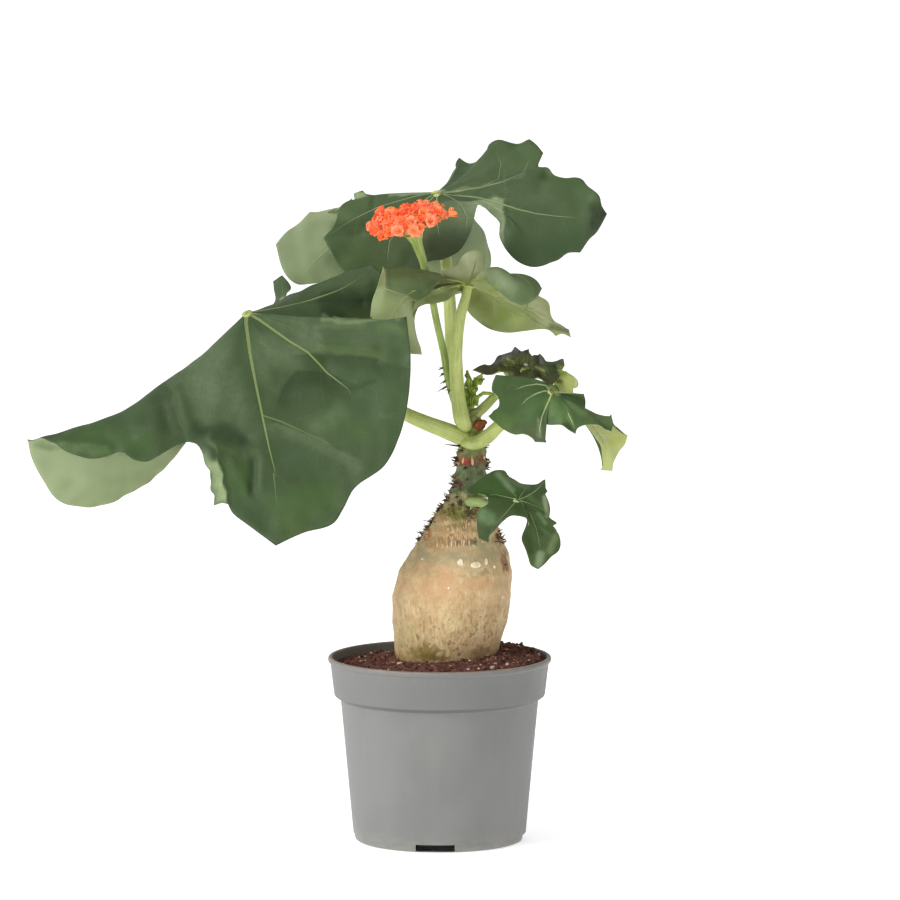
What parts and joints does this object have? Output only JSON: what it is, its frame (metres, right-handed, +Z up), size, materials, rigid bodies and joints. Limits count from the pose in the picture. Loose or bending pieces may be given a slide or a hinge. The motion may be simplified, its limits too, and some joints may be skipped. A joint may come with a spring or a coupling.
{
  "type": "potted jatropha",
  "caption": "Flowering caudex plant in a tapered nursery pot: swollen trunk, long-stalked lobed leaves and one flat-topped coral flower head.",
  "frame": {"origin": "middle of the flat underside of the pot, on the pot's axis", "axes": "+Z up, the pot's axis; -Y is the front, as pictured; the large leaf reaches towards -X"},
  "size_m": [0.3212, 0.1428, 0.3727],
  "materials": {
    "pot_plastic": "satin",
    "potting_soil": "matte",
    "bark": "matte",
    "leaf_stalk": "satin",
    "leaf_blade": "satin",
    "young_leaf_blade": "satin",
    "shoot_leaf": "satin",
    "flower_stalk": "satin",
    "coral_petal": "matte"
  },
  "bodies": {
    "root": {"pot": "pot_plastic", "soil": "potting_soil", "trunk": "bark", "stalk_big": "leaf_stalk", "stalk_top": "leaf_stalk", "stalk_middle": "leaf_stalk", "stalk_right": "leaf_stalk", "stalk_young": "leaf_stalk", "stalk_low": "leaf_stalk", "leaf_big": "leaf_blade", "leaf_top": "leaf_blade", "leaf_middle": "leaf_blade", "leaf_right": "leaf_blade", "leaf_young": "young_leaf_blade", "leaf_low": "leaf_blade", "shoot": "shoot_leaf", "flower_stalk": "flower_stalk", "flower_head": "coral_petal"}
  },
  "joints": []
}
